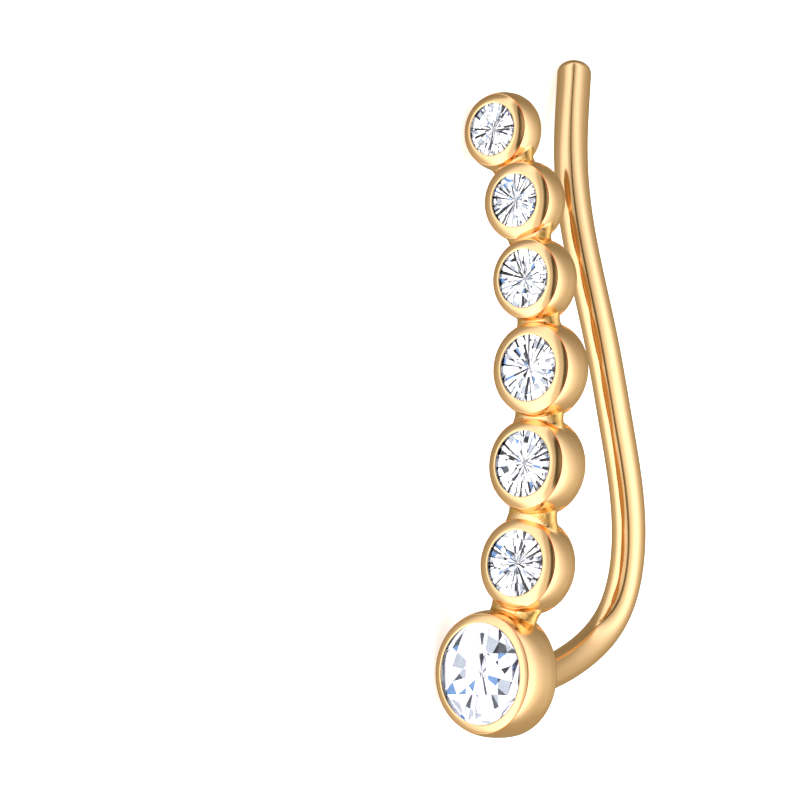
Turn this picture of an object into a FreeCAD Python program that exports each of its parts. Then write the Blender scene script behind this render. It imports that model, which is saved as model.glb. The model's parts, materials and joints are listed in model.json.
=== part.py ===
import FreeCAD, Part
import math
import os

import Sketcher

# Ear climber: a curved row of seven round cups, each holding one faceted stone, cast in one
# piece with short necks between them, and a long hooked ear wire soldered behind the lowest cup.
#
# The shape is drawn upright: the stones face -Y, the row climbs along +Z and its hollow side
# faces -X. The upright origin is the middle of the lowest cup's mouth. At the end the whole
# part is laid down on its hollow side, where it rests by itself on the lowest cup, the highest
# cup and the free end of the wire. Sizes are in millimetres and degrees.

# One row for each cup, the highest first. x, y, z: middle of the cup's mouth. lean: how far
# the mouth looks up. turn: how far it looks towards -X. mouth: radius of the opening that the
# stone shows through. crease: radius of the edge where the front ring ends and the wall begins.
# drop: depth of that edge. wall: radius of the outer wall. deep: depth of the cup.
CUP_COLUMNS = ("x", "y", "z", "lean", "turn", "mouth", "crease", "drop", "wall", "deep")
CUP_ROWS = (
    (-0.50, 1.34, 16.14, 8.0, 0.0, 0.785, 1.07, 0.14, 1.20, 1.00),
    (0.62, 0.87, 14.02, 5.0, -1.0, 0.79, 1.13, 0.15, 1.23, 1.05),
    (1.35, 0.28, 11.71, 5.0, 0.0, 0.87, 1.15, 0.13, 1.26, 1.15),
    (1.58, 0.20, 9.06, 5.0, 0.0, 0.985, 1.33, 0.15, 1.46, 1.20),
    (1.39, 0.19, 6.23, 5.0, 1.0, 0.985, 1.32, 0.17, 1.47, 1.32),
    (0.97, 0.41, 3.28, 5.0, 0.0, 0.985, 1.33, 0.15, 1.46, 1.20),
    (0.00, 0.00, 0.00, 0.0, 4.5, 1.51, 1.77, 0.09, 1.91, 1.40),
)

# The ear wire's route from its free end to the back of the lowest cup: the corners of a line
# that is then rounded off with arcs.
ROUTE_COLUMNS = ("x", "y", "z")
ROUTE_ROWS = (
    (-1.30, 6.83, 18.10),
    (-0.06, 4.75, 14.27),
    (1.03, 4.62, 10.51),
    (1.13, 5.82, 6.50),
    (0.90, 6.60, 3.38),
    (0.45, 6.62, 1.98),
    (0.16, 5.67, 0.78),
    (0.08, 3.85, 0.07),
    (0.00, 1.05, -0.56),
)

# Sizes that all cups, necks, stones and the wire share.
SIZES = {
    "ring_round": 0.28,  # radius of the rounded face of the front ring
    "wall_start": 0.45,  # depth where the wall reaches its full radius
    "back_round": 0.15,  # rounding of the cup's back edge
    "seat_flat": 0.10,  # radius of the flat middle of the seat's bottom
    "lip_cover": 0.10,  # how far the lip reaches over the stone
    "seat_gap": 0.03,  # room between stone and seat
    "seat_rise": 0.30,  # how far the tool that cuts the seat stands out of the mouth
    "girdle": 0.04,  # height of the stone's girdle
    "crown_ratio": 0.12,  # crown height over girdle radius
    "pavilion_ratio": 0.05,  # height of the foiled back over girdle radius
    "table_ratio": 0.60,  # table radius over girdle radius
    "star_ratio": 0.80,  # radius of the ring of points between table and girdle
    "lower_ratio": 0.30,  # radius of the ring of points between girdle and culet
    "neck_ratio": 0.52,  # neck width over the smaller cup's outer diameter
    "neck_drop": 0.25,  # depth of the neck's front below the cups' mouths
    "neck_round": 0.25,  # rounding of the neck's long edges
    "wire_diameter": 1.02,
    "wire_end_round": 0.30,  # rounding of the wire's free end
    "rest_roll": 0.46,  # turn about the length, from lying square to lying at rest
    "rest_pitch": -0.64,  # turn about the depth, from lying square to lying at rest
}

FOLD = 8  # main facets round each stone
RUN_SHARE = 0.45  # part of the shorter run that a bend of the wire may take
CUPS = range(1, len(CUP_ROWS) + 1)


def put_number(sheet, cell, alias, number):
    sheet.set(cell, str(number))
    sheet.setAlias(cell, alias)


def fill_sheet():
    """Writes the driving dimensions: one column of sizes, then a block for each table."""
    sheet = doc.addObject("Spreadsheet::Sheet", "dims")
    for line, (alias, number) in enumerate(SIZES.items(), start=1):
        sheet.set(f"A{line}", alias)
        put_number(sheet, f"B{line}", alias, number)
    line = len(SIZES) + 2
    tables = (("cup", CUP_COLUMNS, CUP_ROWS), ("route", ROUTE_COLUMNS, ROUTE_ROWS))
    for name, columns, rows in tables:
        for number, row in enumerate(rows, start=1):
            line += 1
            sheet.set(f"A{line}", f"{name}{number}")
            for letter, column, value in zip("BCDEFGHIJK", columns, row):
                put_number(sheet, f"{letter}{line}", f"{name}{number}_{column}", value)
        line += 1
    doc.recompute()
    return sheet


def size(alias):
    return float(getattr(dims, alias))


def place_of(name, number):
    return FreeCAD.Vector(*(size(f"{name}{number}_{axis}") for axis in "xyz"))


# Half outlines. Each corner is a radius, a depth below the mouth and, where the way to the next
# corner is an arc that bulges outwards, its radius, all as expressions on the sheet. The tag
# CUP stands for the cup's own row.

CUP_OUTLINE = (
    ("0", "dims.CUP_deep", ""),
    ("0", "0", ""),
    ("dims.CUP_mouth", "0", "dims.ring_round"),
    ("dims.CUP_crease", "dims.CUP_drop",
     "((dims.CUP_wall - dims.CUP_crease)^2 + (dims.wall_start - dims.CUP_drop)^2)"
     " / (2 * (dims.CUP_wall - dims.CUP_crease))"),
    ("dims.CUP_wall", "dims.wall_start", ""),
    ("dims.CUP_wall", "dims.CUP_deep - dims.back_round", "dims.back_round"),
    ("dims.CUP_wall - dims.back_round", "dims.CUP_deep", ""),
)

GIRDLE_RADIUS = "(dims.CUP_mouth + dims.lip_cover)"
CROWN_HEIGHT = f"(dims.crown_ratio * {GIRDLE_RADIUS})"
SEAT_DEPTH = f"({CROWN_HEIGHT} + dims.girdle + dims.pavilion_ratio * {GIRDLE_RADIUS} + 2 * dims.seat_gap)"
LIP_DEPTH = (f"({CROWN_HEIGHT} - 1.5 * dims.seat_gap"
             " - dims.lip_cover * dims.crown_ratio / (1 - dims.table_ratio))")

SEAT_OUTLINE = (
    ("0", SEAT_DEPTH, ""),
    ("0", "-dims.seat_rise", ""),
    ("dims.CUP_mouth", "-dims.seat_rise", ""),
    ("dims.CUP_mouth", LIP_DEPTH, ""),
    (f"{GIRDLE_RADIUS} + dims.seat_gap", f"{CROWN_HEIGHT} - dims.seat_gap", ""),
    (f"{GIRDLE_RADIUS} + dims.seat_gap", f"{CROWN_HEIGHT} + dims.girdle + dims.seat_gap", ""),
    ("dims.seat_flat", SEAT_DEPTH, ""),
)


def arc_between(start, end, radius):
    """The arc that bulges to the left of the way from start to end."""
    way = end - start
    rise = radius - math.sqrt(radius ** 2 - way.Length ** 2 / 4)
    left = FreeCAD.Vector(-way.y, way.x, 0).normalize()
    return Part.Arc(start, (start + end) / 2 + left * rise, end)


def bind(sketch, name, expression, kind, *where):
    """Adds a sized constraint to a sketch and binds it to the sheet."""
    index = sketch.addConstraint(Sketcher.Constraint(kind, *where, sketch.evalExpression(expression)))
    sketch.renameConstraint(index, name)
    sketch.setExpression(f"Constraints.{name}", expression)


def nearest_end(sketch, piece, place):
    """Which end of a piece of the sketch, 1 or 2, is at a place."""
    return min((1, 2), key=lambda end: sketch.getPoint(piece, end).distanceToPoint(place))


def draw_outline(sketch, corners):
    """Draws a closed half outline, joins its pieces and places every corner by the sheet."""
    values = [[float(sketch.evalExpression(text)) if text else 0.0 for text in row] for row in corners]
    points = [FreeCAD.Vector(radius, -depth, 0) for radius, depth, _ in values]
    pieces = []
    for number, (_, _, bulge) in enumerate(values):
        ends = points[number], points[(number + 1) % len(points)]
        pieces.append(arc_between(*ends, bulge) if bulge else Part.LineSegment(*ends))
    sketch.addGeometry(pieces)
    for number, (radius, depth, bulge) in enumerate(corners):
        before = number - 1 if number else len(corners) - 1
        spot = (number, nearest_end(sketch, number, points[number]))
        sketch.addConstraint(Sketcher.Constraint(
            "Coincident", before, nearest_end(sketch, before, points[number]), *spot))
        if radius == "0":
            sketch.addConstraint(Sketcher.Constraint("PointOnObject", *spot, -2))
        else:
            bind(sketch, f"radius_{number}", radius, "DistanceX", -1, 1, *spot)
        if depth == "0":
            sketch.addConstraint(Sketcher.Constraint("PointOnObject", *spot, -1))
        else:
            bind(sketch, f"depth_{number}", depth, "DistanceY", *spot, -1, 1)
        if bulge:
            bind(sketch, f"bulge_{number}", bulge, "Radius", number)


def turned_body(name, outline, number):
    """A body turned from a half outline round its own Z axis, which points out of the mouth."""
    body = doc.addObject("PartDesign::Body", name)
    sketch = body.newObject("Sketcher::SketchObject", f"{name}_outline")
    planes = {feature.Role: feature for feature in body.Origin.OriginFeatures}
    sketch.AttachmentSupport = [(planes["XZ_Plane"], "")]
    sketch.MapMode = "FlatFace"
    draw_outline(sketch, [[text.replace("CUP", f"cup{number}") for text in row] for row in outline])
    doc.recompute()
    turned = body.newObject("PartDesign::Revolution", f"{name}_turned")
    turned.Profile = sketch
    turned.ReferenceAxis = (sketch, ["V_Axis"])
    turned.Angle = 360.0
    body.Placement = facing(number)
    return body


def facing(number):
    """Where a cup sits and which way it looks: its own Z axis goes to -Y, then leans and turns."""
    lean = FreeCAD.Rotation(FreeCAD.Vector(1, 0, 0), 90 - size(f"cup{number}_lean"))
    turn = FreeCAD.Rotation(FreeCAD.Vector(0, 0, 1), -size(f"cup{number}_turn"))
    return FreeCAD.Placement(place_of("cup", number), turn * lean)


def neck_between(upper, lower):
    """A short bar with rounded long edges that joins two cups below their front rings."""
    smaller = min((upper, lower), key=lambda number: size(f"cup{number}_wall"))
    shallow = min((upper, lower), key=lambda number: size(f"cup{number}_deep"))
    start, end = facing(lower), facing(upper)
    way = end.Base - start.Base
    bar = doc.addObject("Part::Box", f"neck{upper}_bar")
    bar.setExpression("Width", f"2 * dims.neck_ratio * dims.cup{smaller}_wall")
    bar.setExpression("Height", f"dims.cup{shallow}_deep - dims.neck_drop")
    bar.Length = way.Length
    doc.recompute()
    face = FreeCAD.Vector(0, 0, 1)
    outwards = start.Rotation.multVec(face) + end.Rotation.multVec(face)
    turn = FreeCAD.Rotation(way, FreeCAD.Vector(), outwards, "XZY")
    corner = FreeCAD.Vector(0, -bar.Width.Value / 2, -bar.Height.Value - size("neck_drop"))
    bar.Placement = FreeCAD.Placement(start.Base, turn) * FreeCAD.Placement(corner, FreeCAD.Rotation())
    neck = doc.addObject("Part::Fillet", f"neck{upper}")
    neck.Base = bar
    doc.recompute()
    long_edges = [index for index, edge in enumerate(bar.Shape.Edges, start=1)
                  if abs(edge.Length - way.Length) < 1e-6]
    neck.Edges = [(index, size("neck_round"), size("neck_round")) for index in long_edges]
    return neck


def rounded_route(corners):
    """Straight runs joined by tangent arcs, each as large as its two runs allow."""
    edges = []
    start = corners[0]
    for before, corner, after in zip(corners, corners[1:], corners[2:]):
        back, on = before - corner, after - corner
        half_turn = (math.pi - back.getAngle(on)) / 2
        reach = RUN_SHARE * min(back.Length, on.Length)
        back.normalize()
        on.normalize()
        radius = reach / math.tan(half_turn)
        inward = (back + on).normalize()
        middle = corner + inward * (radius / math.cos(half_turn) - radius)
        edges.append(Part.LineSegment(start, corner + back * reach).toShape())
        edges.append(Part.Arc(corner + back * reach, middle, corner + on * reach).toShape())
        start = corner + on * reach
        print(f"wire bend at z {corner.z:.2f}: radius {radius:.1f} mm")
    edges.append(Part.LineSegment(start, corners[-1]).toShape())
    return Part.Wire(edges)


def make_wire():
    """The ear wire: a round section swept along its route, with a rounded free end."""
    corners = [place_of("route", number) for number in range(1, len(ROUTE_ROWS) + 1)]
    route = doc.addObject("Part::Feature", "wire_route")
    route.Shape = rounded_route(corners)
    section = doc.addObject("Part::Circle", "wire_section")
    section.setExpression("Radius", "dims.wire_diameter / 2")
    section.Placement = FreeCAD.Placement(
        corners[0], FreeCAD.Rotation(FreeCAD.Vector(0, 0, 1), corners[1] - corners[0]))
    sweep = doc.addObject("Part::Sweep", "wire_sweep")
    sweep.Sections = [section]
    sweep.Spine = (route, [f"Edge{number}" for number in range(1, len(route.Shape.Edges) + 1)])
    sweep.Solid = True
    doc.recompute()
    whole = route.Shape.Length * math.pi * (size("wire_diameter") / 2) ** 2
    print(f"wire: length {route.Shape.Length:.2f} mm, volume {sweep.Shape.Volume:.2f}, "
          f"section times length {whole:.2f} mm3")
    tip = [index for index, edge in enumerate(sweep.Shape.Edges, start=1)
           if edge.isClosed() and edge.CenterOfMass.distanceToPoint(corners[0]) < 0.01]
    wire = doc.addObject("Part::Fillet", "ear_wire")
    wire.Base = sweep
    wire.Edges = [(index, size("wire_end_round"), size("wire_end_round")) for index in tip]
    return wire


def ring_of_points(radius, height, count, shift=0.0):
    """Points on a level circle; shift turns them by a part of their spacing."""
    angles = [(number + shift) * 2 * math.pi / count for number in range(count)]
    return [FreeCAD.Vector(radius * math.cos(a), radius * math.sin(a), height) for a in angles]


def brilliant(girdle_radius, crown, pavilion):
    """A low round brilliant: its table is level with the mouth, its back is nearly flat."""
    table_radius = girdle_radius * size("table_ratio")
    star_radius = girdle_radius * size("star_ratio")
    lower_radius = girdle_radius * size("lower_ratio")
    flank = math.cos(math.pi / FOLD)
    star_drop = crown * (star_radius * flank - table_radius) / (girdle_radius - table_radius)
    lower_drop = pavilion * (1 - lower_radius * flank / girdle_radius)
    table = ring_of_points(table_radius, 0.0, FOLD)
    star = ring_of_points(star_radius, -star_drop, FOLD, 0.5)
    upper = ring_of_points(girdle_radius, -crown, 2 * FOLD)
    girdle_base = -crown - size("girdle")
    lower = ring_of_points(girdle_radius, girdle_base, 2 * FOLD)
    keel = ring_of_points(lower_radius, girdle_base - lower_drop, FOLD, 0.5)
    culet = FreeCAD.Vector(0, 0, girdle_base - pavilion)
    facets = [table]
    for number in range(FOLD):
        after = (number + 1) % FOLD
        main, half, end = 2 * number, 2 * number + 1, (2 * number + 2) % (2 * FOLD)
        facets += [
            (table[number], star[number], table[after]),
            (table[number], star[number - 1], upper[main], star[number]),
            (star[number], upper[main], upper[half]),
            (star[number], upper[half], upper[end]),
            (upper[main], lower[main], lower[half], upper[half]),
            (upper[half], lower[half], lower[end], upper[end]),
            (keel[number], lower[half], lower[main]),
            (keel[number], lower[end], lower[half]),
            (culet, keel[number], lower[main], keel[number - 1]),
        ]
    faces = [Part.Face(Part.makePolygon([*points, points[0]])) for points in facets]
    return Part.Solid(Part.Shell(faces))


def make_stone(number):
    """The stone of one cup, with a small gap all round to its seat."""
    girdle_radius = size(f"cup{number}_mouth") + size("lip_cover")
    crown = size("crown_ratio") * girdle_radius
    pavilion = size("pavilion_ratio") * girdle_radius
    stone = doc.addObject("Part::Feature", f"stone_{number}")
    stone.Shape = brilliant(girdle_radius, crown, pavilion)
    stone.Placement = facing(number)
    return stone


def lying_placement(shape):
    """Lays the upright part on its hollow side, with the middle of its footprint at the origin."""
    square = FreeCAD.Rotation(FreeCAD.Vector(0, 1, 0), -90)
    roll = FreeCAD.Rotation(FreeCAD.Vector(1, 0, 0), size("rest_roll"))
    pitch = FreeCAD.Rotation(FreeCAD.Vector(0, 1, 0), size("rest_pitch"))
    turned = FreeCAD.Placement(FreeCAD.Vector(), pitch * roll * square)
    laid = shape.copy()
    laid.Placement = turned
    box = laid.optimalBoundingBox(False)
    middle = FreeCAD.Vector(box.Center.x, box.Center.y, box.ZMin)
    return FreeCAD.Placement(-middle, FreeCAD.Rotation()) * turned


def check_objects():
    for item in doc.Objects:
        if "Invalid" in item.State or "Error" in item.State:
            raise RuntimeError(f"{item.Name} failed: {item.State}")


def write_node(item):
    if item.Shape.isNull() or not item.Shape.isValid():
        raise RuntimeError(f"{item.Label} has no valid shape")
    item.Shape.exportStep(f"parts/{item.Label}.step")
    print(f"{item.Label}: {len(item.Shape.Solids)} solid, {item.Shape.Volume:.3f} mm3")


doc = FreeCAD.newDocument("ear_climber")
dims = fill_sheet()

# The casting: cups, necks and wire grown together, then each seat cut for its stone.
cups = [turned_body(f"cup_{number}", CUP_OUTLINE, number) for number in CUPS]
necks = [neck_between(number, number + 1) for number in CUPS[:-1]]
casting = doc.addObject("Part::MultiFuse", "casting")
casting.Shapes = [*cups, *necks, make_wire()]
seats = doc.addObject("Part::MultiFuse", "seats")
seats.Shapes = [turned_body(f"seat_{number}", SEAT_OUTLINE, number) for number in CUPS]
metal = doc.addObject("Part::Cut", "climber_frame")
metal.Base = casting
metal.Tool = seats
metal.Label = "climber_frame"
stones = [make_stone(number) for number in CUPS]
doc.recompute()
check_objects()

# Everything is laid down together.
lying = lying_placement(metal.Shape)
for node in (metal, *stones):
    node.Placement = lying * node.Placement
doc.recompute()
check_objects()

os.makedirs("parts", exist_ok=True)
for node in (metal, *stones):
    write_node(node)
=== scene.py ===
# %% [markdown]
# An ear climber: seven round bezel cups with clear stones climb in a curve, cast in one piece
# with short necks between them, and a long hooked ear wire is soldered behind the lowest cup.
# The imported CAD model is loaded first. It fixes the place and the size of everything, so each
# piece that is modelled here is made where the CAD node is.

# %% The frame
import json
import math
import random

import bpy
from mathutils import Matrix, Vector
from mathutils.geometry import interpolate_bezier

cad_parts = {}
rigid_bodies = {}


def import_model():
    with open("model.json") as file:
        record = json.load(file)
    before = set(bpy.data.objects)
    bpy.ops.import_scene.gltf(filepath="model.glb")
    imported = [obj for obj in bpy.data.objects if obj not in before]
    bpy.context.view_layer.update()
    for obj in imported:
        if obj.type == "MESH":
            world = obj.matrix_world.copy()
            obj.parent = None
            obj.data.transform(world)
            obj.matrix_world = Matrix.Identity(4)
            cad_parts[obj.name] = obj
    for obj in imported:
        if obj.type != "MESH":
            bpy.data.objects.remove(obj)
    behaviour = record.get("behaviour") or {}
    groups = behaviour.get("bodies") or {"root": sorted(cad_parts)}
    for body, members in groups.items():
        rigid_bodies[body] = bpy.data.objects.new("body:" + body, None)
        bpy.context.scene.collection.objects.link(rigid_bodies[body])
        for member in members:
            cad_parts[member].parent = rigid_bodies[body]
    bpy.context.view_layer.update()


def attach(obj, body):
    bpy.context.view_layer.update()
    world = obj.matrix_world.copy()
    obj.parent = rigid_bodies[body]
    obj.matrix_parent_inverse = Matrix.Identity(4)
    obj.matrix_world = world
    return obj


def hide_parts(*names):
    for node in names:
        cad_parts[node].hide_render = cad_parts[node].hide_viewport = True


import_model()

# %% [markdown]
# The jeweller thinks of the climber standing upright, with the stones towards the viewer, so it
# is modelled upright and in millimetres: the stones face -Y, the row climbs along +Z, and the
# origin is the middle of the lowest cup's mouth. Left alone on a table it lies on its hollow
# side, on the lowest cup, the highest cup and the end of the wire. LAY_DOWN takes each finished
# mesh there, and from millimetres to metres.

# %% From upright to lying
QUARTER_TURN = -90.0  # about the depth: +Z goes to -X
REST_ROLL = 0.46  # about its length, from lying square to lying at rest
REST_PITCH = -0.64  # the same about its depth
REST_PLACE = Vector((8.16799, -3.52386, 1.86594))  # where the upright origin comes to lie, in mm
MM = 0.001

TURN_DOWN = (Matrix.Rotation(math.radians(REST_PITCH), 4, "Y")
             @ Matrix.Rotation(math.radians(REST_ROLL), 4, "X")
             @ Matrix.Rotation(math.radians(QUARTER_TURN), 4, "Y"))
LAY_DOWN = Matrix.Scale(MM, 4) @ Matrix.Translation(REST_PLACE) @ TURN_DOWN
print("the origin lies at", [round(1000 * number, 2) for number in LAY_DOWN.translation])

# %% [markdown]
# The cups are all made alike and differ only in size, so one table drives them, as a jeweller's
# list of settings would. Lean is how far a cup looks up, turn how far it looks to the left.

# %% The list of cups, in millimetres and degrees, the highest first
CUP_COLUMNS = ("x", "y", "z", "lean", "turn", "mouth", "crease", "drop", "wall", "deep")
CUP_ROWS = (
    (-0.50, 1.34, 16.14, 8.0, 0.0, 0.785, 1.07, 0.14, 1.20, 1.00),
    (0.62, 0.87, 14.02, 5.0, -1.0, 0.79, 1.13, 0.15, 1.23, 1.05),
    (1.35, 0.28, 11.71, 5.0, 0.0, 0.87, 1.15, 0.13, 1.26, 1.15),
    (1.58, 0.20, 9.06, 5.0, 0.0, 0.985, 1.33, 0.15, 1.46, 1.20),
    (1.39, 0.19, 6.23, 5.0, 1.0, 0.985, 1.32, 0.17, 1.47, 1.32),
    (0.97, 0.41, 3.28, 5.0, 0.0, 0.985, 1.33, 0.15, 1.46, 1.20),
    (0.00, 0.00, 0.00, 0.0, 4.5, 1.51, 1.77, 0.09, 1.91, 1.40),
)
CUPS = [dict(zip(CUP_COLUMNS, row)) for row in CUP_ROWS]


def facing(cup):
    """Where a cup sits and which way it looks: its own Z axis points out of its mouth."""
    place = Matrix.Translation((cup["x"], cup["y"], cup["z"]))
    turn = Matrix.Rotation(math.radians(-cup["turn"]), 4, "Z")
    lean = Matrix.Rotation(math.radians(90.0 - cup["lean"]), 4, "X")
    return place @ turn @ lean


LIP = 0.10  # how far a stone's girdle reaches under the rim
CROWN, LARGE_CROWN = 0.12, 0.06  # height over the girdle's radius: the large stone is flatter
PAVILION = 0.05  # the same for the back
for number, cup in enumerate(CUPS, start=1):
    cup["number"] = number
    cup["girdle"] = cup["mouth"] + LIP
    cup["crown"] = (LARGE_CROWN if cup is CUPS[-1] else CROWN) * cup["girdle"]
    cup["pavilion"] = PAVILION * cup["girdle"]
    print(f"cup {number}: mouth {2 * cup['mouth']:.2f} mm, outside {2 * cup['wall']:.2f} mm")

# %% [markdown]
# A cup is turned: a half outline goes once round the axis. In Blender the same is done by hand
# with a circle that is extruded and resized ring by ring. The outline is drawn as arcs, each
# given by its two ends and the slope that it leaves and reaches them with, because on polished
# metal the eye sees slopes, as bands of light, long before it sees sizes.

# %% Half outlines
def arc(start, start_slope, end, end_slope, steps):
    """Points of a smooth bend; slopes are in degrees, 0 is outwards and -90 is down the wall."""
    start, end = Vector(start), Vector(end)
    way = (end - start).length
    bend = math.radians(abs(end_slope - start_slope))
    handle = way / (3.0 * math.cos(bend / 4.0) ** 2)
    out = Vector((math.cos(math.radians(start_slope)), math.sin(math.radians(start_slope))))
    into = Vector((math.cos(math.radians(end_slope)), math.sin(math.radians(end_slope))))
    points = interpolate_bezier(start, start + out * handle, end - into * handle, end, steps + 1)
    return [tuple(point) for point in points]


SEAT_GAP = 0.03  # air between a stone and its seat
GIRDLE = 0.04  # thickness of a stone's edge
SEAT_FLAT = 0.10  # radius of the flat middle of the seat's bottom
LIP_SLOPE = 0.30  # height over width of the lip's underside
GROOVE, GROOVE_DEEP = 0.012, 0.05  # the line left where the setter's punch pressed the rim over
LIP_AIR = 1.5 * SEAT_GAP  # between the stone's crown and the lip's edge
BORE_TOP = 0.018  # depth where the bore's wall ends and the edge of the mouth begins
ROLL_START = (0.006, -0.012)  # from the mouth's edge outwards and up
RIM_ROLL, ROLL_DROP = 0.055, 0.004  # width of the ring's small rounding and its depth at the end
ROLL_INSIDE = 32  # slope of that rounding at the stone
RIM_INSIDE, RIM_OUTSIDE = -13, -38  # slopes of the ring behind it and at the groove
NICK = 0.001  # keeps the groove's sides a hair off upright
SHOULDER, SHOULDER_DROP = -64, 0.012  # slope and depth of the wall where it leaves the groove
WALL_WIDEST = 0.70  # where the wall is widest, as a share of the cup's depth
WALL_TUCK, TUCK_SLOPE = 0.02, -95  # how the wall draws in towards the back
BACK_ROUND = 0.16
BACK_MIDDLE = 0.3  # radius of the back's middle face, as a share of the wall's
ROLL_STEPS, RIM_STEPS, SHOULDER_STEPS, SIDE_STEPS, BACK_STEPS = 5, 12, 12, 5, 7


def cup_outline(cup):
    """From the seat's bottom, up to the mouth, over the rim and down the wall to the back."""
    mouth, crease, drop, wall, deep = (cup[key] for key in ("mouth", "crease", "drop", "wall", "deep"))
    girdle, crown = cup["girdle"] + SEAT_GAP, cup["crown"]
    lip = crown - LIP_AIR - LIP_SLOPE * LIP
    base = -crown - GIRDLE - SEAT_GAP
    seat = [(SEAT_FLAT, base - cup["pavilion"] - SEAT_GAP), (girdle, base), (girdle, SEAT_GAP - crown)]
    bore = [(mouth, -lip), (mouth, -BORE_TOP)]
    roll_end = (mouth + RIM_ROLL, -ROLL_DROP)
    roll = arc((mouth + ROLL_START[0], ROLL_START[1]), ROLL_INSIDE, roll_end, RIM_INSIDE, ROLL_STEPS)
    rim = arc(roll_end, RIM_INSIDE, (crease, -drop), RIM_OUTSIDE, RIM_STEPS)
    groove = [(crease + NICK, -drop - GROOVE_DEEP), (crease + GROOVE, -drop - GROOVE_DEEP)]
    shoulder_top = (crease + GROOVE + NICK, -drop - SHOULDER_DROP)
    widest = (wall, -WALL_WIDEST * deep)
    shoulder = arc(shoulder_top, SHOULDER, widest, -90, SHOULDER_STEPS)
    side_end = (wall - WALL_TUCK, BACK_ROUND - deep)
    side = arc(widest, -90, side_end, TUCK_SLOPE, SIDE_STEPS)
    back = arc(side_end, TUCK_SLOPE, (side_end[0] - BACK_ROUND, -deep), -180, BACK_STEPS)
    middle = [(BACK_MIDDLE * wall, -deep)]
    return seat + bore + roll + rim[1:] + groove + shoulder + side[1:] + back[1:] + middle


print("half outline of the lowest cup:", len(cup_outline(CUPS[-1])), "points")

# %% [markdown]
# The lathe starts from a small disc. An extruded disc keeps its first face and carries a second
# one along, so after the last step the solid is closed at both ends without any clean-up.

# %% The lathe
ROUND = 96  # sides of a turned piece


def deselect():
    """Leaves edit mode and deselects every object."""
    if bpy.context.object and bpy.context.object.mode != "OBJECT":
        bpy.ops.object.mode_set(mode="OBJECT")
    bpy.ops.object.select_all(action="DESELECT")


def only(piece):
    """Makes one object the selected and active one."""
    deselect()
    piece.select_set(True)
    bpy.context.view_layer.objects.active = piece


def turned(name, outline, around=ROUND):
    """A closed solid turned round Z from a half outline of (radius, height) points."""
    deselect()
    (radius, height), *rest = outline
    bpy.ops.mesh.primitive_circle_add(vertices=around, radius=radius, fill_type="NGON",
                                      enter_editmode=True, location=(0, 0, height))
    solid = bpy.context.object
    solid.name = name
    bpy.ops.mesh.select_all(action="SELECT")
    for next_radius, next_height in rest:
        bpy.ops.mesh.extrude_region_move(TRANSFORM_OT_translate={"value": (0, 0, next_height - height)})
        wider = next_radius / radius
        bpy.ops.transform.resize(value=(wider, wider, 1), center_override=(0, 0, next_height))
        radius, height = next_radius, next_height
    bpy.ops.object.mode_set(mode="OBJECT")
    bpy.ops.object.transform_apply(location=True, rotation=True, scale=True)
    bpy.ops.object.mode_set(mode="EDIT")
    bpy.ops.mesh.select_all(action="SELECT")
    bpy.ops.mesh.normals_make_consistent(inside=False)
    bpy.ops.object.mode_set(mode="OBJECT")
    return solid


cups = []
for cup in CUPS:
    solid = turned(f"cup_{cup['number']}", cup_outline(cup))
    solid.data.transform(facing(cup))
    cups.append(solid)
print("cups turned:", len(cups), "with", len(cups[0].data.polygons), "faces each")

# %% [markdown]
# Between two cups the caster leaves a short neck. It is no plain bar: the metal draws up to both
# walls in hollows, as wax does. A hollow is part of a circle that would touch the round wall
# without a corner, so its radius follows from the wall's radius, the waist and half the gap
# between the cups. It stops a little before it touches, where the metal meets the wall in a soft
# line. The neck is a disc across the way from cup to cup that is extruded ring by ring along
# those two circles. Its ends run straight on into the cups.

# %% Necks
NECK_AROUND = 56  # sides of a neck
NECK_STEPS = 7  # rings from the waist to one wall
NECK_SHARE = 0.57  # width of the waist over the smaller cup's outer width
NECK_TOP = 0.34  # depth of the waist's front below the mouths
NECK_END = 0.06  # the metal behind the neck, up to the cups' backs
NECK_MEETS = 0.75  # where the hollow stops, over the way to where it would touch the wall
NECK_REACH = 0.62  # how far the neck runs into a cup, over the smaller wall's radius


def hollow(wall, waist, half_gap):
    """Rings from the waist to the wall, as pairs of distance along the neck and width."""
    radius = (waist ** 2 + 2 * wall * half_gap + half_gap ** 2) / (2 * (wall - waist))
    last = NECK_MEETS * math.asin((wall + half_gap) / (wall + radius))
    angles = [last * step / NECK_STEPS for step in range(1, NECK_STEPS + 1)]
    return [(radius * math.sin(angle), waist + radius * (1 - math.cos(angle))) for angle in angles]


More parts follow.
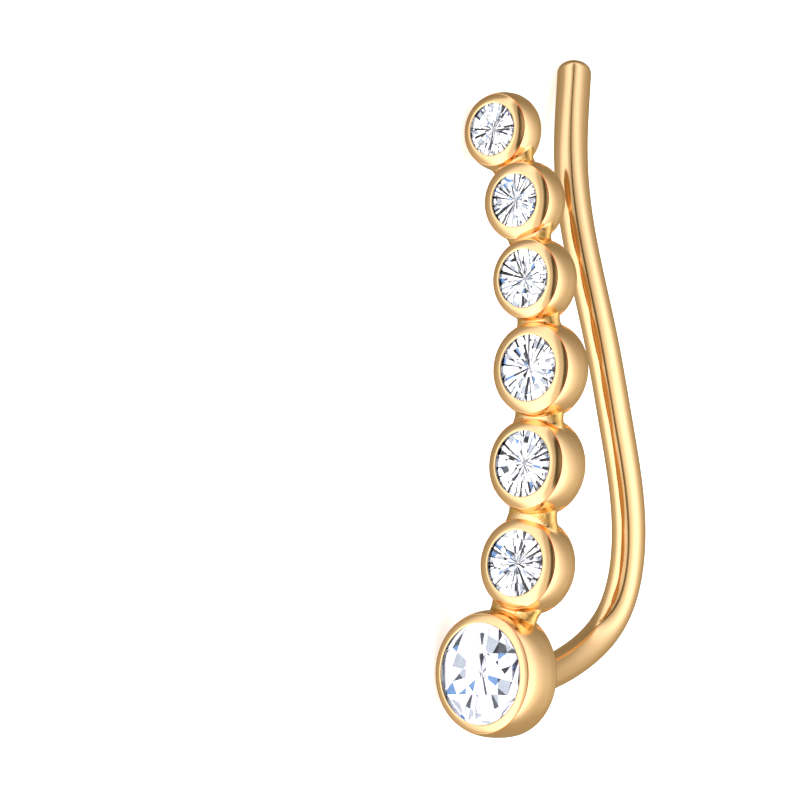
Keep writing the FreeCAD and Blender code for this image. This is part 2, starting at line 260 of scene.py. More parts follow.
def neck_between(upper, lower):
    """A waisted bar along Z, then stood between two cups with its own Y towards their mouths."""
    start, end = facing(lower), facing(upper)
    way = end.translation - start.translation
    half_gap = (way.length - lower["wall"] - upper["wall"]) / 2
    along = way.normalized()
    middle = start.translation + along * (lower["wall"] + half_gap)
    small = min(upper["wall"], lower["wall"])
    waist = NECK_SHARE * small
    thick = (min(upper["deep"], lower["deep"]) - NECK_END - NECK_TOP) / 2
    down = [(-place, width) for place, width in hollow(lower["wall"], waist, half_gap)]
    up = hollow(upper["wall"], waist, half_gap)
    reach = NECK_REACH * small
    rings = [(-reach, down[-1][1]), *reversed(down), (0.0, waist), *up, (reach, up[-1][1])]
    deselect()
    place, width = rings[0]
    bpy.ops.mesh.primitive_circle_add(vertices=NECK_AROUND, radius=width, fill_type="NGON",
                                      enter_editmode=True, location=(0, 0, place))
    neck = bpy.context.object
    neck.name = f"neck_{upper['number']}"
    bpy.ops.mesh.select_all(action="SELECT")
    bpy.ops.transform.resize(value=(1, thick / width, 1), center_override=(0, 0, place))
    for next_place, next_width in rings[1:]:
        bpy.ops.mesh.extrude_region_move(TRANSFORM_OT_translate={"value": (0, 0, next_place - place)})
        bpy.ops.transform.resize(value=(next_width / width, 1, 1), center_override=(0, 0, next_place))
        place, width = next_place, next_width
    bpy.ops.object.mode_set(mode="OBJECT")
    bpy.ops.object.transform_apply(location=True, rotation=True, scale=True)
    outwards = (start.col[2].xyz + end.col[2].xyz).normalized()
    across = outwards.cross(along).normalized()
    outwards = along.cross(across)
    stand = Matrix((across, outwards, along)).transposed().to_4x4()
    neck.data.transform(Matrix.Translation(middle - outwards * (NECK_TOP + thick)) @ stand)
    only(neck)
    bpy.ops.object.mode_set(mode="EDIT")
    bpy.ops.mesh.select_all(action="SELECT")
    bpy.ops.mesh.normals_make_consistent(inside=False)
    bpy.ops.object.mode_set(mode="OBJECT")
    return neck, middle


necks = [neck_between(upper, lower) for upper, lower in zip(CUPS, CUPS[1:])]
print("necks:", len(necks), "with", len(necks[0][0].data.polygons), "faces each")

# %% [markdown]
# The ear wire is drawn wire, bent cold over a mandrel, so its line has no corners at all: a
# smooth spline through the air with a round section. Its free end is rounded off with a cup
# burr, which is done here by extruding the end face in a few shrinking steps.

# %% The ear wire
WIRE_RADIUS = 0.51
WIRE_END_ROUND = 0.30
WIRE_STEPS, WIRE_ROUND = 26, 14  # how finely the spline and its round section are drawn
SEAM, END_NEAR = 0.002, 0.01  # mm: what counts as one point, and as the plane of the wire's end
WIRE_LINE = (
    (-1.30, 6.83, 18.10), (-1.04, 6.40, 17.31), (-0.48, 5.30, 15.56), (0.32, 4.57, 13.06),
    (1.14, 4.72, 9.97), (1.05, 5.60, 7.31), (1.15, 6.38, 4.39), (0.28, 6.955, 1.35),
    (0.02, 3.76, -0.08), (0.06, 2.08, -0.29), (0.00, 1.05, -0.56),
)

deselect()
bpy.ops.curve.primitive_nurbs_path_add()
wire = bpy.context.object
wire.name = "ear_wire"
spline = wire.data.splines[0]
spline.points.add(len(WIRE_LINE) - len(spline.points))
tip = Vector(WIRE_LINE[0])
tip_way = (tip - Vector(WIRE_LINE[1])).normalized()
for point, place in zip(spline.points, (tip - tip_way * WIRE_END_ROUND, *WIRE_LINE[1:])):
    point.co = (*place, 1.0)
spline.order_u = 4
spline.use_endpoint_u = True
spline.resolution_u = WIRE_STEPS
wire.data.resolution_u = WIRE_STEPS
wire.data.render_resolution_u = WIRE_STEPS
wire.data.bevel_depth = WIRE_RADIUS
wire.data.bevel_resolution = WIRE_ROUND
wire.data.use_fill_caps = True
bpy.ops.object.convert(target="MESH")
bpy.ops.object.transform_apply(location=True, rotation=True, scale=True)

only(wire)
mesh = wire.data
start = tip - tip_way * WIRE_END_ROUND
bpy.ops.object.mode_set(mode="EDIT")
bpy.ops.mesh.select_all(action="SELECT")
bpy.ops.mesh.remove_doubles(threshold=SEAM)
bpy.ops.mesh.normals_make_consistent(inside=False)
bpy.ops.mesh.select_all(action="DESELECT")
bpy.ops.object.mode_set(mode="OBJECT")
for face in mesh.polygons:
    from_end = face.center - start
    face.select = abs(from_end.dot(tip_way)) < END_NEAR and from_end.length < WIRE_RADIUS
print("wire end faces selected:", sum(face.select for face in mesh.polygons))
bpy.ops.object.mode_set(mode="EDIT")
bpy.ops.mesh.select_mode(type="FACE")
bpy.ops.mesh.dissolve_faces()
END_STEPS = 8
before_out, before_radius = 0.0, WIRE_RADIUS
for step in range(1, END_STEPS + 1):
    angle = math.radians(90.0 * step / END_STEPS)
    out = WIRE_END_ROUND * math.sin(angle)
    radius = WIRE_RADIUS - WIRE_END_ROUND * (1 - math.cos(angle))
    bpy.ops.mesh.extrude_region_move(TRANSFORM_OT_translate={"value": tip_way * (out - before_out)})
    smaller = radius / before_radius
    bpy.ops.transform.resize(value=(smaller,) * 3, center_override=start + tip_way * out)
    before_out, before_radius = out, radius
bpy.ops.object.mode_set(mode="OBJECT")
print("ear wire:", len(mesh.polygons), "faces")

# %% [markdown]
# Casting and soldering make one piece of metal. The Boolean modifier does the same. First a core
# that is a little narrower than the cup is cut off each neck and the wire, so that nothing
# reaches a seat. Then everything is united with the cups into one closed skin, without inner
# walls.

# %% One piece of metal
CORE_INSET, CORE_BACK = 0.14, 0.07  # wall and back that a core leaves
CORE_FRONT = 0.5  # how far a core stands out of the mouth
CORE_AROUND = 64


def boolean(piece, other, operation):
    """Cuts another solid off a piece, or unites the two."""
    only(piece)
    change = piece.modifiers.new(operation.lower(), "BOOLEAN")
    change.operation = operation
    change.object = other
    change.solver = "MANIFOLD"
    bpy.ops.object.modifier_apply(modifier=change.name)


def discard(piece):
    """Takes away a solid that has done its work."""
    bpy.data.objects.remove(piece)


cores = []
for cup in CUPS:
    inner = cup["wall"] - CORE_INSET
    outline = [(inner, CORE_FRONT), (inner, CORE_BACK - cup["deep"])]
    core = turned(f"core_{cup['number']}", outline, CORE_AROUND)
    core.data.transform(facing(cup))
    cores.append(core)
for number, (neck, _) in enumerate(necks):
    boolean(neck, cores[number], "DIFFERENCE")
    boolean(neck, cores[number + 1], "DIFFERENCE")
boolean(wire, cores[-1], "DIFFERENCE")
metal = cups[0]
metal.name = "metal"
for piece in (*cups[1:], *(neck for neck, _ in necks), wire):
    boolean(metal, piece, "UNION")
    discard(piece)
for core in cores:
    discard(core)
print("metal:", len(metal.data.vertices), "vertices,", len(metal.data.polygons), "faces")

# %% [markdown]
# Where the bodies met there are knife-sharp lines, but cast and soldered metal always leaves a
# small hollow there. The sharp edges near each neck and round the foot of the wire are found by
# their place, the selection is grown a little, and the vertices in it are smoothed.

# %% Soften the joints
JOINT_ANGLE = 20.0
JOINT_NEAR = 1.05  # mm from a joint's middle
JOINT_SMOOTH = 5
JOINT_BEHIND = 0.7  # where a neck's middle lies, behind the line between two mouths
FOOT = Vector((0, -0.45, -1.45))  # of the wire, seen from the lowest cup
CLEAR_OUT, CLEAR_DOWN = 0.02, 0.10  # what round a rim stays as it is, beside and behind it


def near_joint(point):
    """True close to the middle of a neck or to the foot of the wire."""
    return any((point - middle).length < JOINT_NEAR for middle in joint_middles)


def below_rims(point):
    """True where a point is deeper than every nearby cup's groove."""
    for cup in CUPS:
        local = facing(cup).inverted() @ point
        beside = math.hypot(local.x, local.y) < cup["wall"] + CLEAR_OUT
        if beside and local.z > -cup["drop"] - CLEAR_DOWN:
            return False
    return True


neck_middles = [middle + Vector((0, JOINT_BEHIND, 0)) for _, middle in necks]
joint_middles = [*neck_middles, facing(CUPS[-1]) @ FOOT]

only(metal)
bpy.ops.object.mode_set(mode="EDIT")
bpy.ops.mesh.select_mode(type="EDGE")
bpy.ops.mesh.select_all(action="DESELECT")
bpy.ops.mesh.edges_select_sharp(sharpness=math.radians(JOINT_ANGLE))
bpy.ops.object.mode_set(mode="OBJECT")
points = metal.data.vertices
for edge in metal.data.edges:
    place = (points[edge.vertices[0]].co + points[edge.vertices[1]].co) / 2
    edge.select = edge.select and near_joint(place) and below_rims(place)
chosen = {index for edge in metal.data.edges if edge.select for index in edge.vertices}
for vertex in points:
    vertex.select = vertex.index in chosen
for face in metal.data.polygons:
    face.select = False
bpy.ops.object.mode_set(mode="EDIT")
bpy.ops.mesh.select_mode(type="VERT")
bpy.ops.mesh.select_more()
bpy.ops.mesh.vertices_smooth(factor=0.5, repeat=JOINT_SMOOTH)
bpy.ops.object.mode_set(mode="OBJECT")
print("joint vertices smoothed from", len(chosen))

# %% [markdown]
# The stones are low round brilliants of cut glass, pressed into their seats. A cut stone is the
# convex hull of its corners, so rings of corners are set out as circles at their heights, the
# hull is drawn over them, and triangles that lie in one plane are dissolved into one facet.

# %% Stone blanks
FOLD = 8  # main facets round the crown
TABLE, STAR = 0.60, 0.80  # radii of the table's and the stars' corners over the girdle's
FLANK = math.cos(math.pi / FOLD)  # from the middle to a side of the table, over that to a corner
ONE_PLANE = 0.6  # degrees between triangles of one facet


def cut_stone(cup):
    """A crown with table, stars, kites and halves over a round girdle and a level back."""
    radius, crown = cup["girdle"], cup["crown"]
    star_drop = crown * (STAR * FLANK - TABLE) / (1 - TABLE)
    back = -crown - GIRDLE - cup["pavilion"] / 2
    rings = ((FOLD, TABLE * radius, 0.0, 0.0), (FOLD, STAR * radius, -star_drop, 0.5),
             (2 * FOLD, radius, -crown, 0.0), (2 * FOLD, radius, back, 0.0))
    deselect()
    made = []
    for corners, ring_radius, height, shift in rings:
        bpy.ops.mesh.primitive_circle_add(vertices=corners, radius=ring_radius, location=(0, 0, height),
                                          rotation=(0, 0, shift * 2 * math.pi / corners))
        made.append(bpy.context.object)
    for piece in made:
        piece.select_set(True)
    bpy.ops.object.join()
    stone = bpy.context.object
    bpy.ops.object.transform_apply(location=True, rotation=True, scale=True)
    stone.name = f"cut_stone_{cup['number']}"
    bpy.ops.object.mode_set(mode="EDIT")
    bpy.ops.mesh.select_all(action="SELECT")
    bpy.ops.mesh.convex_hull(join_triangles=False)
    bpy.ops.mesh.select_all(action="SELECT")
    bpy.ops.mesh.dissolve_limited(angle_limit=math.radians(ONE_PLANE))
    bpy.ops.mesh.normals_make_consistent(inside=False)
    bpy.ops.object.mode_set(mode="OBJECT")
    return stone


stones = [cut_stone(cup) for cup in CUPS]
print("stones:", [len(stone.data.polygons) for stone in stones], "facets")

# %% [markdown]
# The small faces of the back are what makes a stone sparkle. They are cut into the level back
# as a cutter does it, stroke by stroke, with a straight cut right across. In the small stones
# the cuts cross near the middle, a narrow and a wide one in turn, which leaves needles. The
# large one has the eightfold star of a brilliant. Then the corners move a hair up or down, so
# that no two faces mirror the same place.

# %% Cuts across the backs
NEEDLE, PETAL = (2.2, 4.6), (5.5, 13.0)  # degrees
FIRST_CUT = 10  # degrees that the first cut may turn
OFF_MIDDLE = 0.035  # how far a cut misses the middle, over the girdle's radius
BACK_RINGS = (0.26, 0.50, 0.72)  # where shorter cuts cross the needles, over the girdle's radius
RING_SIDES, RING_SWAY = 6, 12  # cuts in a ring, and degrees that each may lean
RING_SPREAD = (0.88, 1.12)  # how far a ring's cuts stray from its radius
TILT = 0.010  # mm that the corners of the back move
INNER = 0.9  # the corners that move lie inside this share of the girdle
LEVEL = 0.001  # mm: corners this close to the lowest one belong to the back
LOOKS_BACK = -0.9  # faces of the back look up less than this
NEEDLE_SEED = 31


def back_faces(stone):
    """The faces that look straight back, or nearly so."""
    return [face for face in stone.data.polygons if face.normal.z < LOOKS_BACK]


def cut_back(stone, angle, offset):
    """One straight cut across the back; angle is the way the cut looks, in degrees."""
    only(stone)
    for item in (*stone.data.vertices, *stone.data.edges, *stone.data.polygons):
        item.select = False
    for face in back_faces(stone):
        face.select = True
    look = Vector((math.cos(math.radians(angle)), math.sin(math.radians(angle)), 0))
    bpy.ops.object.mode_set(mode="EDIT")
    bpy.ops.mesh.select_mode(type="FACE")
    bpy.ops.mesh.bisect(plane_co=look * offset, plane_no=look)
    bpy.ops.object.mode_set(mode="OBJECT")


def roughen_back(stone, seed):
    """Moves the inner corners of the back up or down by a hair."""
    only(stone)
    bottom = min(vertex.co.z for vertex in stone.data.vertices)
    rim = max(vertex.co.xy.length for vertex in stone.data.vertices)
    for item in (*stone.data.edges, *stone.data.polygons):
        item.select = False
    for vertex in stone.data.vertices:
        vertex.select = vertex.co.z < bottom + LEVEL and vertex.co.xy.length < INNER * rim
    bpy.ops.object.mode_set(mode="EDIT")
    bpy.ops.mesh.select_mode(type="VERT")
    bpy.ops.transform.vertex_random(offset=TILT, uniform=0.0, normal=1.0, seed=seed)
    bpy.ops.object.mode_set(mode="OBJECT")


def cut_needles(stone, cup):
    """Cuts the back of a small stone and gives back which spans of angle are needles."""
    dice = random.Random(NEEDLE_SEED * cup["number"])
    angle, spans = dice.uniform(0, FIRST_CUT), []
    while angle < 180:
        cut_back(stone, angle + 90, dice.uniform(-1, 1) * OFF_MIDDLE * cup["girdle"])
        needle = len(spans) % 2 == 0
        step = dice.uniform(*(NEEDLE if needle else PETAL))
        spans.append((angle, angle + step, needle))
        angle += step
    share = 360 / RING_SIDES
    for ring in BACK_RINGS:
        turn = dice.uniform(0, share)
        for side in range(RING_SIDES):
            distance = dice.uniform(*RING_SPREAD) * ring * cup["girdle"]
            cut_back(stone, turn + share * side + dice.uniform(-RING_SWAY, RING_SWAY), distance)
    roughen_back(stone, cup["number"])
    return spans


STAR_SIDES = 8
STAR_CUTS = (0.38, 0.70, 0.86)  # distances of the eight-sided stars' cuts from the middle
KITE_TURN = 14.0  # degrees that the long edges of the kite above the middle lean
KITE_ENDS = (0.13, 0.50)  # where its lower and upper corner are, over the girdle's radius


def cut_star(stone, cup):
    """Cuts the back of the large stone: diameters, eight-sided stars and a long upright kite."""
    radius = cup["girdle"]
    half = 180 / STAR_SIDES
    for step in range(STAR_SIDES):
        cut_back(stone, half * step + half / 2, 0.0)
    for number, distance in enumerate(STAR_CUTS):
        for step in range(STAR_SIDES):
            cut_back(stone, 2 * half * step + half * (number % 2), distance * radius)
    for lean in (-KITE_TURN, KITE_TURN):
        for height in KITE_ENDS:
            cut_back(stone, lean, height * radius * math.sin(math.radians(lean)))
    roughen_back(stone, cup["number"])


needles = [cut_needles(stone, cup) for stone, cup in zip(stones[:-1], CUPS)]
cut_star(stones[-1], CUPS[-1])
print("faces with the back's:", [len(stone.data.polygons) for stone in stones])

# %% [markdown]
# Every material starts from what the real one is. Colours are given as sRGB hex values and
# turned linear by one function, and one helper adds a node with its settings and its links.

# %% Helpers for materials
SRGB_DARK, SRGB_SLOPE = 0.04045, 12.92  # the straight foot of the sRGB curve: its end and slope
SRGB_LIFT, SRGB_POWER = 0.055, 2.4  # the curve above it


def linear(code):
    """An sRGB hex colour as linear RGBA."""
    channels = []
    for place in (1, 3, 5):
        value = int(code[place:place + 2], 16) / 255
        curved = ((value + SRGB_LIFT) / (1 + SRGB_LIFT)) ** SRGB_POWER
        channels.append(value / SRGB_SLOPE if value <= SRGB_DARK else curved)
    return (*channels, 1.0)


def add(tree, kind, settings=(), **inputs):
    """Adds a node: settings are its properties, inputs are values or the sockets that feed it.

    An input goes by its name, with two underlines for a space, or by its number after one.
    """
    node = tree.nodes.new(kind)
    for key, value in dict(settings).items():
        setattr(node, key, value)
    for key, value in inputs.items():
        socket = node.inputs[int(key[1:])] if key[0] == "_" else node.inputs[key.replace("__", " ")]
        if isinstance(value, bpy.types.NodeSocket):
            tree.links.new(value, socket)
        else:
            socket.default_value = value
    return node


def blank(name):
    """A material without nodes, and its node tree."""
    material = bpy.data.materials.new(name)
    material.use_nodes = True
    material.node_tree.nodes.clear()
    return material, material.node_tree


def finish_with(tree, shader):
    """Sends a shader to the material's output."""
    add(tree, "ShaderNodeOutputMaterial", Surface=shader)


def place_in_mm(tree):
    """The place on the piece, in mm."""
    place = add(tree, "ShaderNodeTexCoord").outputs["Object"]
    return add(tree, "ShaderNodeMapping", Vector=place, Scale=(1 / MM, 1 / MM, 1 / MM)).outputs["Vector"]


# %% [markdown]
# Gold plating over silver, tumbled and then polished on a felt wheel. It gives soft-edged but
# clear reflections, warm yellow where the light is full and orange where gold mirrors gold. The
# wheel never leaves it quite flat: waves about a millimetre long make the reflections swim a
# little, and the necks, which the wheel can't reach, keep their rougher cast skin, in a darker
# and more orange gold that is painted shade between the cups.

# %% Polished gold plating
GOLD_EDGE = linear("#FFF3DC")
WAVE = 1.1  # mm
SKIN = 0.16  # mm


def gold_plating(name, colour, roughness, wave_height, skin_height):
    """Long waves from the wheel and a fine skin from the casting; heights are in metres."""
    material, tree = blank(name)
    in_mm = place_in_mm(tree)
    wave = add(tree, "ShaderNodeTexNoise", Vector=in_mm, Scale=1 / WAVE, Detail=1.0).outputs["Fac"]
    skin = add(tree, "ShaderNodeTexNoise", Vector=in_mm, Scale=1 / SKIN, Detail=2.0).outputs["Fac"]
    waves = add(tree, "ShaderNodeBump", Strength=1.0, Distance=wave_height, Height=wave)
    skins = add(tree, "ShaderNodeBump", Strength=1.0, Distance=skin_height, Height=skin,
                Normal=waves.outputs["Normal"])
    rough = add(tree, "ShaderNodeMapRange", Value=skin, _3=roughness[0], _4=roughness[1])
    plating = add(tree, "ShaderNodeBsdfPrincipled", Base__Color=linear(colour), Metallic=1.0,
                  Roughness=rough.outputs["Result"], Normal=skins.outputs["Normal"])
    plating.inputs["Specular Tint"].default_value = GOLD_EDGE
    finish_with(tree, plating.outputs["BSDF"])
    return material


gold = gold_plating("gold_plated_silver_wheel_polished", "#FCD199", roughness=(0.10, 0.15),
                    wave_height=4.0e-6, skin_height=6.0e-7)
# The as-cast gold is darker and more orange than the polished: painted shade on the necks between the
# cups. Its roughness and skin are real.
as_cast_painted_shade = gold_plating("gold_plated_silver_as_cast_painted_shade", "#EFBE70", roughness=(0.20, 0.34),
                       wave_height=1.2e-5, skin_height=1.6e-5)
print("materials:", gold.name, as_cast_painted_shade.name)

# %% [markdown]
# The stones are clear lead crystal, machine cut and polished, so their faces are sharp and
# without any texture. Behind the girdle they are foiled with silver. Each face of the back is
# given one tone of foil, bright, soft, grey, nearly black, blue or pale, the same from wherever
# one looks: all but the bright silver are painted reflections, of dimmer and dark parts of the
# tent and of the coloured fire of cut glass. The tone of each is a little uneven at random.

# %% Clear crystal and its foil, with painted reflections
crystal, tree = blank("lead_crystal_machine_cut")
clear = add(tree, "ShaderNodeBsdfPrincipled", Base__Color=linear("#FDFEFF"), Roughness=0.0,
            IOR=1.52, Transmission__Weight=1.0)
finish_with(tree, clear.outputs["BSDF"])

# Painted reflections: soft, grey, black and pale foil stand for dimmer and dark parts of the tent
# mirrored in the back, blue for the fire of cut glass; only bright is plain silver.
FOIL_AND_PAINTED_REFLECTION_COLOURS = {"bright": "#FBFCFF", "soft": "#A3AAB6", "grey": "#45494F", "black": "#141619",
                "blue": "#6488B8", "pale": "#D2D3E0"}
FOIL_GRAIN = 0.25  # mm
FOIL_TONES = (0.88, 1.06)  # brightness under the thickest and the thinnest lacquer
FOILS = list(FOIL_AND_PAINTED_REFLECTION_COLOURS)


def foil(kind):
    """Silver foil in one tone, a painted reflection but for the bright one, uneven where lacquer is
    thicker.
    """
    material, tree = blank(f"silver_foil_and_painted_reflection_{kind}")
    in_mm = place_in_mm(tree)
    grain = add(tree, "ShaderNodeTexNoise", Vector=in_mm, Scale=1 / FOIL_GRAIN,
                Detail=1.0).outputs["Fac"]
    tone = add(tree, "ShaderNodeMapRange", Value=grain, _3=FOIL_TONES[0],
               _4=FOIL_TONES[1]).outputs["Result"]
    colour = add(tree, "ShaderNodeMix", {"data_type": "RGBA", "blend_type": "MULTIPLY"}, _0=1.0,
                 _6=linear(FOIL_AND_PAINTED_REFLECTION_COLOURS[kind]), _7=tone).outputs[2]
    mirror = add(tree, "ShaderNodeBsdfPrincipled", Base__Color=colour, Metallic=1.0, Roughness=0.09)
    finish_with(tree, mirror.outputs["BSDF"])
    return material


foils = [foil(kind) for kind in FOILS]
print("materials:", crystal.name, [material.name for material in foils])

# %% Which face gets which foil, that is which painted reflection
# Shares of the bright, soft, grey, black, blue and pale foil, painted reflections but for the
# bright: for needles, for petals and for the large stone.
NEEDLE_SHARES = (0.16, 0.12, 0.14, 0.54, 0.04, 0.0)
PETAL_SHARES = (0.80, 0.13, 0.02, 0.02, 0.02, 0.01)
STAR_SHARES = (0.34, 0.06, 0.03, 0.0, 0.02, 0.55)
# Painted reflections on the large stone, its dark and coloured faces: place in the photograph,
# in pixels to the right of and above the middle of the mouth, and the foil.
STAR_PAINTED_REFLECTION_SPOTS = (
    (0, 17, "black"), (0, -3, "black"), (-5, 29, "grey"), (-18, 29, "grey"), (-27, 26, "blue"),
    (11, 25, "black"), (20, 27, "grey"), (29, 22, "grey"), (17, 40, "black"), (1, 35, "grey"),
    (33, 10, "grey"), (23, 6, "blue"), (15, 11, "black"), (26, 1, "black"), (29, -8, "grey"),
    (18, -8, "black"), (23, -17, "grey"), (6, -22, "black"), (-3, -22, "soft"),
    (11, -33, "grey"), (18, -35, "blue"), (-12, -31, "grey"), (-11, -39, "soft"),
    (-25, -14, "grey"), (-21, -17, "blue"), (-28, -4, "grey"), (-21, 2, "soft"),
    (-30, 10, "grey"), (-24, 36, "grey"), (-9, 36, "soft"),
)
STAR_SCALE = (27.5, 33.8)  # pixels per mm of the large stone's face, across and upwards
SPOT_AREA = 0.12  # square mm of the largest face that gets one of those foils
CROWN_LOOKS_UP = 0.05  # faces that look up less than this are foiled
FOIL_SEED, STAR_SEED = 77, 7


def is_needle(face, spans):
    """True where a face of a small stone's back lies between two cuts that are close together."""
    angle = math.degrees(math.atan2(face.center.y, face.center.x)) % 180
    return any(needle and start <= angle + lap < end
               for start, end, needle in spans for lap in (0, 180))


for stone in stones:
    for material in (crystal, *foils):
        stone.data.materials.append(material)
    for face in stone.data.polygons:
        face.material_index = 1 if face.normal.z < CROWN_LOOKS_UP else 0
# Each back face gets a foil tone at random from its shares, so the needles come out mostly as painted
# dark reflections.
for number, (stone, spans) in enumerate(zip(stones, needles)):
    dice = random.Random(FOIL_SEED + number)
    for face in back_faces(stone):
        shares = NEEDLE_SHARES if is_needle(face, spans) else PETAL_SHARES
        face.material_index = 1 + dice.choices(range(len(FOILS)), shares)[0]
dice = random.Random(STAR_SEED)
for face in back_faces(stones[-1]):
    face.material_index = 1 + dice.choices(range(len(FOILS)), STAR_SHARES)[0]
# The small faces nearest the listed places get the painted reflections seen there.
for right, above, kind in STAR_PAINTED_REFLECTION_SPOTS:
    spot = Vector((right / STAR_SCALE[0], above / STAR_SCALE[1]))
    small = [face for face in back_faces(stones[-1]) if face.area < SPOT_AREA]
    nearest = min(small, key=lambda face: (face.center.xy - spot).length)
    nearest.material_index = 1 + FOILS.index(kind)
for cup, stone in zip(CUPS, stones):
    stone.data.transform(facing(cup))
print("toned faces of the stones:",
      [sum(face.material_index > 1 for face in stone.data.polygons) for stone in stones])

# %% [markdown]
# The seats are lacquered silver like the foil, below the polished edge of the lip, and the necks
# keep their cast skin. Then the finished pieces are laid down, and each takes over its CAD
# node's place and body.

# %% Laying down
SEAT_EDGE, SEAT_BOTTOM = 0.02, 0.5  # depths between which the lacquer ends
LOOKS_IN = 0.2  # how much a lacquered face under the lip may still look up
NECK_NEAR = 1.1  # mm from a neck's middle
WALL_SKIN = 0.004  # the cast skin begins this far outside the turned walls
SOFT_EDGE = 38  # degrees between faces that still shade as one


def in_a_seat(face):
    """True in a seat, below the polished edge of its lip; the foil's lacquer covers it too."""
    for cup in CUPS:
        stand = facing(cup)
        local = stand.inverted() @ face.center
        within = math.hypot(local.x, local.y) < cup["girdle"] + 2 * SEAT_GAP
        if within and -SEAT_BOTTOM < local.z < -SEAT_EDGE:
            return face.normal.dot(stand.col[2].xyz) < LOOKS_IN or local.z < -cup["crown"]
    return False


def on_a_neck(face):
    """True outside every cup's wall and close to the middle of a neck."""
    if not any((face.center - middle).length < NECK_NEAR for middle in neck_middles):
        return False
    for cup in CUPS:
        local = facing(cup).inverted() @ face.center
        if math.hypot(local.x, local.y) < cup["wall"] + WALL_SKIN:
            return False
    return True


metal.data.materials.clear()
for material in (gold, as_cast_painted_shade, foils[0]):
    metal.data.materials.append(material)
for face in metal.data.polygons:
    # Seats get the bright silver foil, necks the as-cast gold with its painted shade, the rest the
    # polished gold.
    face.material_index = 2 if in_a_seat(face) else 1 if on_a_neck(face) else 0
only(metal)
bpy.ops.object.shade_smooth_by_angle(angle=math.radians(SOFT_EDGE))
for number, stone in enumerate(stones, start=1):
    stone.data.transform(LAY_DOWN)
    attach(stone, "root")
    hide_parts(f"stone_{number}")
metal.data.transform(LAY_DOWN)
metal.name = "cast_cups_and_wire"
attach(metal, "root")
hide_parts("climber_frame")
metal.data.calc_loop_triangles()
print("metal triangles:", len(metal.data.loop_triangles))

# %% [markdown]
# The photograph was taken in a tent of white cloth: a broad bright side to the left and to the
# right of the camera, a dimmer back, and the dark slit where the lens looks in. Polished metal
# shows that tent and nothing else, so the tent is drawn as the world, as brightness over the
# angle round the climber's length. The floor is a white sheet lit a little from below, so that
# only faint shadows stay on it, and the metal doesn't mirror it.

# %% Where the camera stands
VIEW_TURN = math.radians(35.0)
SCALE = 33.8  # pixels of the photograph per mm
IMAGE = 800
MOUTH_PIXEL = (479.8, 673.9)  # the middle of the lowest cup's mouth
LENS, SENSOR = 1000.0, 36.0  # mm
CLIP = (0.05, 20.0)  # metres

towards_camera = Vector((math.sin(VIEW_TURN), -math.cos(VIEW_TURN), 0))
image_right = Vector((math.cos(VIEW_TURN), math.sin(VIEW_TURN), 0))
image_up = Vector((0, 0, 1))
aim = (image_right * (IMAGE / 2 - MOUTH_PIXEL[0]) + image_up * (MOUTH_PIXEL[1] - IMAGE / 2)) / SCALE
distance = IMAGE / SCALE * LENS / SENSOR
upright = Matrix((image_right, image_up, towards_camera)).transposed().to_4x4()
eye = aim + towards_camera * distance

bpy.ops.object.camera_add()
camera = bpy.context.object
camera.name = "camera"
camera.data.lens = LENS
camera.data.sensor_width = SENSOR
camera.matrix_world = Matrix.Translation(LAY_DOWN @ eye) @ TURN_DOWN @ upright
camera.data.clip_start, camera.data.clip_end = CLIP
bpy.context.scene.camera = camera
print("camera at", [round(number, 3) for number in camera.matrix_world.translation])

# %% The tent
RIGHT, UP, FRONT = ((TURN_DOWN @ v.to_4d()).xyz for v in (image_right, image_up, towards_camera))
TENT = (  # angle to the right of the camera in degrees, brightness
    (-180, 0.36), (-135, 0.40), (-100, 0.60), (-78, 1.40), (-58, 1.85), (-38, 1.60), (-24, 0.80),
    (-10, 0.75), (-6, 0.18), (-1, 0.03), (4, 0.24), (10, 0.70), (25, 0.95), (40, 1.35), (55, 1.75),
    (70, 1.60), (84, 1.05), (106, 0.62), (135, 0.42), (180, 0.36),
)
BRIGHTEST = 1.9
TENT_FOOT, TENT_TOP = (-0.9, 1.26), (0.95, 0.80)  # how far up a ray looks, brightness there
LESS_GREEN, LESS_BLUE = (0.05, 0.15), (0.25, 0.32)  # dim cloth is warmer: share and its growth

world = bpy.data.worlds.new("tent")
bpy.context.scene.world = world
world.use_nodes = True
tree = world.node_tree
tree.nodes.clear()
way = add(tree, "ShaderNodeTexCoord").outputs["Generated"]
to_right, to_camera, to_top = (
    add(tree, "ShaderNodeVectorMath", {"operation": "DOT_PRODUCT"}, _0=way, _1=axis).outputs["Value"]
    for axis in (RIGHT, FRONT, UP))
angle = add(tree, "ShaderNodeMath", {"operation": "ARCTAN2"}, _0=to_right, _1=to_camera).outputs[0]
turn = add(tree, "ShaderNodeMapRange", Value=angle, _1=-math.pi, _2=math.pi).outputs["Result"]
ramp = add(tree, "ShaderNodeValToRGB", Fac=turn)
stops = ramp.color_ramp.elements
for _ in range(len(TENT) - 2):
    stops.new(0.5)
for stop, (degrees, _) in zip(stops, TENT):
    stop.position = (degrees + 180) / 360
for stop, (_, light) in zip(stops, TENT):
    dim = 1.0 - light
    share = light / BRIGHTEST
    green, blue = (1 - dim * (near + far * dim) for near, far in (LESS_GREEN, LESS_BLUE))
    stop.color = (share, share * green, share * blue, 1)
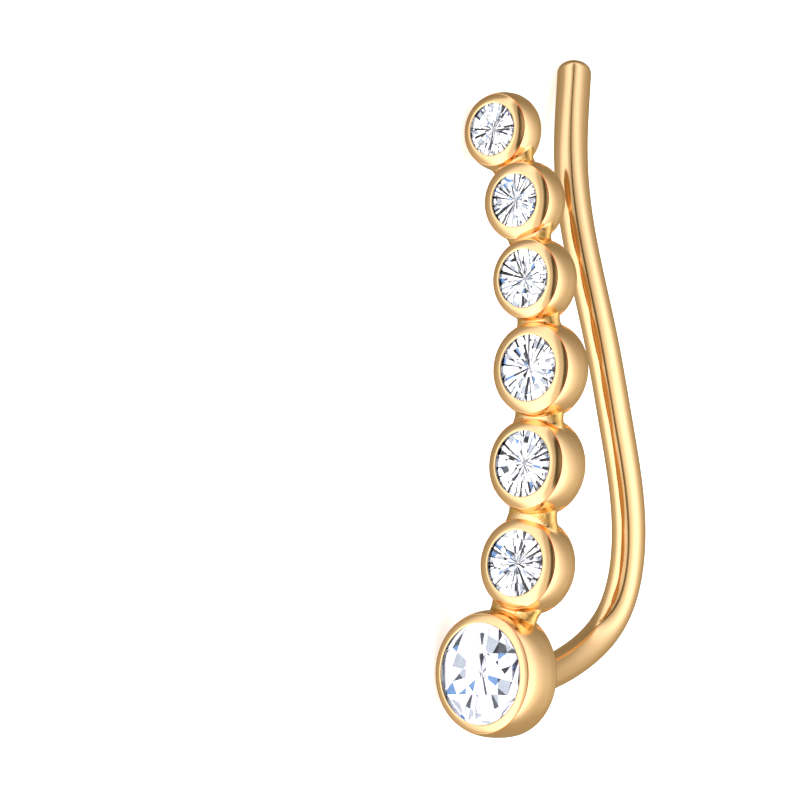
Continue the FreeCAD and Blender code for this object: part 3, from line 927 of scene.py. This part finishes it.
over = add(tree, "ShaderNodeMapRange", {"interpolation_type": "SMOOTHSTEP"}, Value=to_top,
           _1=TENT_FOOT[0], _2=TENT_TOP[0], _3=TENT_FOOT[1], _4=TENT_TOP[1]).outputs["Result"]
strength = add(tree, "ShaderNodeMath", {"operation": "MULTIPLY"}, _0=over, _1=BRIGHTEST).outputs[0]
cloth = add(tree, "ShaderNodeBackground", Color=ramp.outputs["Color"], Strength=strength)
add(tree, "ShaderNodeOutputWorld", Surface=cloth.outputs["Background"])
print("tent:", len(TENT), "steps of brightness")

# %% The floor and the lamp above it
FLOOR_SIZE = 6.0
FLOOR_CUTS = 4
FLOOR_GLOW = 0.55
bpy.ops.mesh.primitive_plane_add(size=FLOOR_SIZE, location=(0, 0, 0))
floor = bpy.context.object
floor.name = "floor"
only(floor)
bpy.ops.object.mode_set(mode="EDIT")
bpy.ops.mesh.subdivide(number_cuts=FLOOR_CUTS)
bpy.ops.object.mode_set(mode="OBJECT")
floor_white, tree = blank("white_acrylic_sheet")
sheet = add(tree, "ShaderNodeBsdfDiffuse", Color=linear("#F6F5F3"))
glow = add(tree, "ShaderNodeEmission", Color=linear("#FFFFFF"), Strength=FLOOR_GLOW)
lit = add(tree, "ShaderNodeAddShader", _0=sheet.outputs["BSDF"], _1=glow.outputs["Emission"])
finish_with(tree, lit.outputs["Shader"])
floor.data.materials.append(floor_white)
floor.visible_glossy = False

LAMP_SIZE = 0.9
LAMP_PLACE = (0.15, -0.25, 0.8)
LAMP_POWER = 3.5
bpy.ops.object.light_add(type="AREA", location=LAMP_PLACE)
lamp = bpy.context.object
lamp.name = "lamp"
lamp.data.shape = "DISK"
lamp.data.size = LAMP_SIZE
lamp.data.energy = LAMP_POWER
lamp.rotation_euler = (-lamp.location).to_track_quat("-Z", "Y").to_euler()
lamp.visible_glossy = False
lamp.visible_transmission = False
print("lamp power", LAMP_POWER)

BOUNCES, MOST_BOUNCES = 20, 24  # light crosses a stone many times before it comes out
scene = bpy.context.scene
scene.view_settings.view_transform = "Standard"
scene.cycles.max_bounces = MOST_BOUNCES
scene.cycles.glossy_bounces = BOUNCES
scene.cycles.transmission_bounces = BOUNCES
